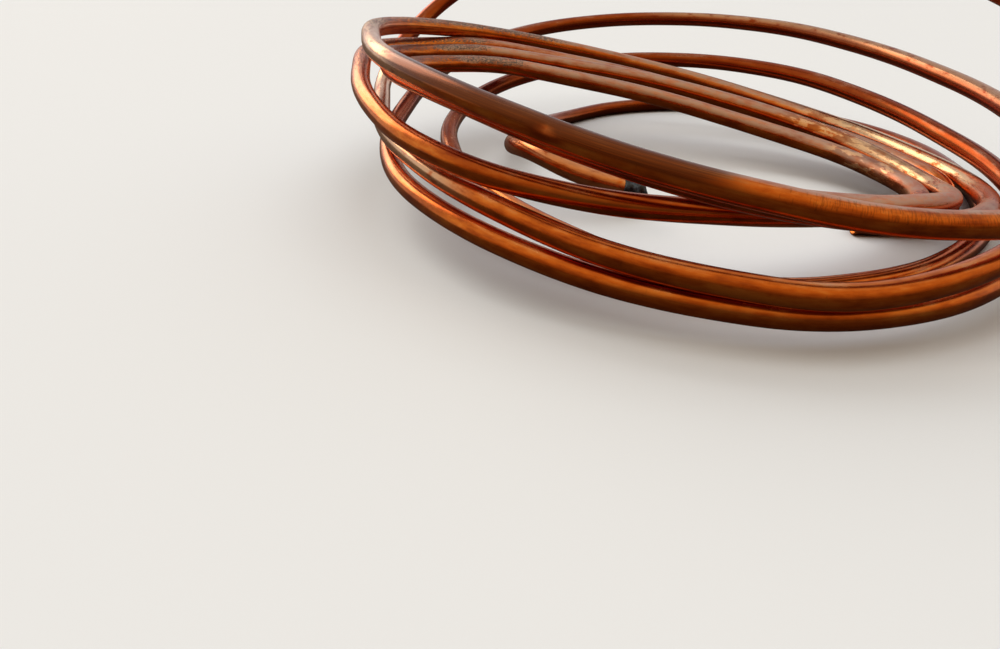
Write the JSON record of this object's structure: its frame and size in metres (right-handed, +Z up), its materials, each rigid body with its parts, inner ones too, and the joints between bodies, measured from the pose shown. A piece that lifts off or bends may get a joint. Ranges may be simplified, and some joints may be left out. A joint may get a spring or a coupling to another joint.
{
  "type": "copper tube coil",
  "caption": "Loose coil of round hollow copper tube with turns sprung apart, one end taped shut and the other cut square and open.",
  "frame": {"origin": "middle of the bottom of the coil's box, on the floor that it lies on", "axes": "+Z up, -Y towards the picture's viewer, +X to the viewer's right"},
  "size_m": [0.5774, 0.6865, 0.2161],
  "materials": {
    "copper": "drawn copper, handled and tarnished brown in places",
    "tape": "black wrinkled insulating tape"
  },
  "bodies": {
    "root": {"copper_tube": "copper", "end_tape": "tape"}
  },
  "joints": []
}
